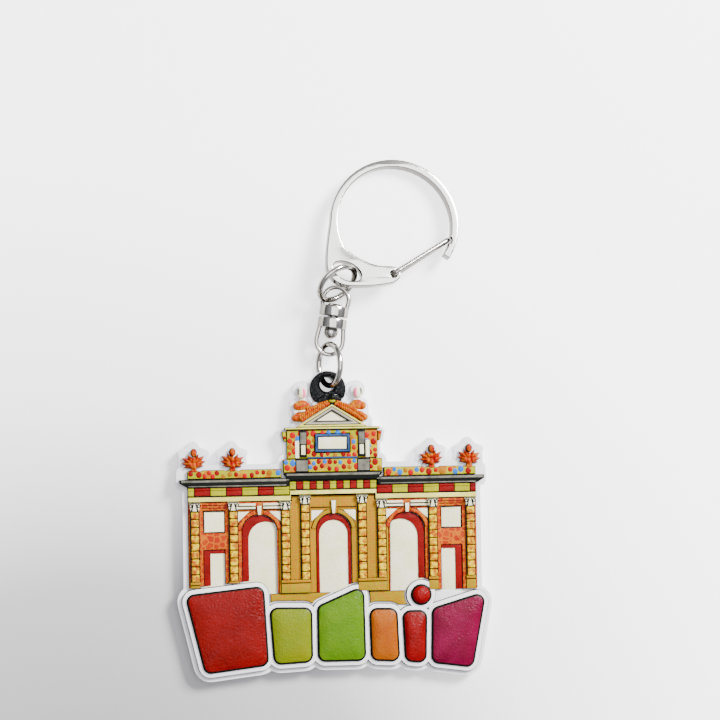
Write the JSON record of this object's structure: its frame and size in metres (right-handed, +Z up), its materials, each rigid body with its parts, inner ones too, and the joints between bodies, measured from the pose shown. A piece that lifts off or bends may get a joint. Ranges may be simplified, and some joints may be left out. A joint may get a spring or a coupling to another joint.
{
  "type": "keychain",
  "caption": "Moulded triumphal arch charm on a tab, linked by jump rings and a barrel swivel to a D-shaped snap hook with a wire gate.",
  "frame": {"origin": "middle of the footprint, on the surface that the keychain lies on", "axes": "+Z up out of the table and out of the charm's front, +Y from the charm to the hook, +X to the charm's right"},
  "size_m": [0.0628, 0.1032, 0.0093],
  "materials": {
    "nickel_steel": "bright nickel plate",
    "white_plastic": "satin moulded plastic",
    "black_print": "speckled",
    "ochre_print": "satin",
    "orange_print": "satin",
    "red_print": "satin",
    "yellow_print": "satin",
    "cream_print": "satin",
    "grey_print": "satin",
    "blue_print": "satin",
    "flame_print": "satin",
    "figure_print": "satin",
    "red_gloss": "grained gloss",
    "lime_gloss": "grained gloss",
    "green_gloss": "grained gloss",
    "orange_gloss": "grained gloss",
    "crimson_gloss": "grained gloss",
    "magenta_gloss": "grained gloss"
  },
  "bodies": {
    "charm": {"base_plate": "white_plastic", "tile_rim": "white_plastic", "wall_plaque_left": "white_plastic", "wall_plaque_right": "white_plastic", "attic_plaque": "white_plastic", "tympanum": "white_plastic", "tab_face": "black_print", "apex_leaf": "black_print", "facade_centre": "ochre_print", "ground_left": "ochre_print", "ground_right": "ochre_print", "attic_block": "ochre_print", "facade_left": "orange_print", "facade_right": "orange_print", "swag_left": "orange_print", "swag_right": "orange_print", "reveal_left": "red_print", "reveal_centre": "red_print", "reveal_right": "red_print", "door_reveal_left": "red_print", "door_reveal_right": "red_print", "frieze": "red_print", "column_1": "yellow_print", "column_2": "yellow_print", "column_3": "yellow_print", "column_4": "yellow_print", "column_5": "yellow_print", "column_6": "yellow_print", "column_7": "yellow_print", "column_8": "yellow_print", "balustrade_left": "yellow_print", "balustrade_right": "yellow_print", "attic_ear_left": "yellow_print", "attic_ear_right": "yellow_print", "architrave": "cream_print", "attic_band": "cream_print", "attic_cap": "cream_print", "cornice": "grey_print", "pediment": "grey_print", "plaque_frame": "blue_print", "finial_1": "flame_print", "finial_2": "flame_print", "finial_3": "flame_print", "finial_4": "flame_print", "figure_left": "figure_print", "figure_right": "figure_print", "tile_red": "red_gloss", "tile_stud": "red_gloss", "tile_lime": "lime_gloss", "tile_green": "green_gloss", "tile_orange": "orange_gloss", "tile_crimson": "crimson_gloss", "tile_magenta": "magenta_gloss"},
    "lower_ring": {"lower_jump_ring": "nickel_steel"},
    "lower_half": {"swivel_lower": "nickel_steel"},
    "upper_half": {"swivel_upper": "nickel_steel", "swivel_rivet": "nickel_steel"},
    "upper_ring": {"upper_jump_ring": "nickel_steel"},
    "hook": {"hook_body": "nickel_steel"},
    "gate": {"hook_gate": "nickel_steel"}
  },
  "joints": [
    {"name": "lower_ring_swing", "type": "hinge", "parent": "charm", "child": "lower_ring", "pos_m": [-0.00076, 0.00645, 0.00433], "axis": [0, 0, 1], "range_deg": [-25, 30]},
    {"name": "lower_half_tip", "type": "hinge", "parent": "lower_ring", "child": "lower_half", "pos_m": [-0.00097, 0.01276, 0.0032], "axis": [0.9857, -0.1685, 0], "range_deg": [-20, 22]},
    {"name": "swivel_spin", "type": "hinge", "parent": "lower_half", "child": "upper_half", "pos_m": [0.00026, 0.02, 0.0032], "axis": [0.1685, 0.9857, 0], "continuous": true},
    {"name": "upper_ring_tip", "type": "hinge", "parent": "upper_half", "child": "upper_ring", "pos_m": [0.00128, 0.02591, 0.0032], "axis": [0.9263, -0.1583, 0.342], "range_deg": [-25, 4]},
    {"name": "hook_swing", "type": "hinge", "parent": "upper_ring", "child": "hook", "pos_m": [0.00442, 0.02874, 0.00501], "axis": [-0.2331, 0.5629, 0.7929], "range_deg": [-25, 30]},
    {"name": "gate_hinge", "type": "hinge", "parent": "hook", "child": "gate", "pos_m": [0.01216, 0.02825, 0.00475], "axis": [0.0436, 0.139, 0.9893], "range_deg": [0, 35], "stiffness_Nm_per_rad": 0.004, "springref_deg": -8.59}
  ]
}
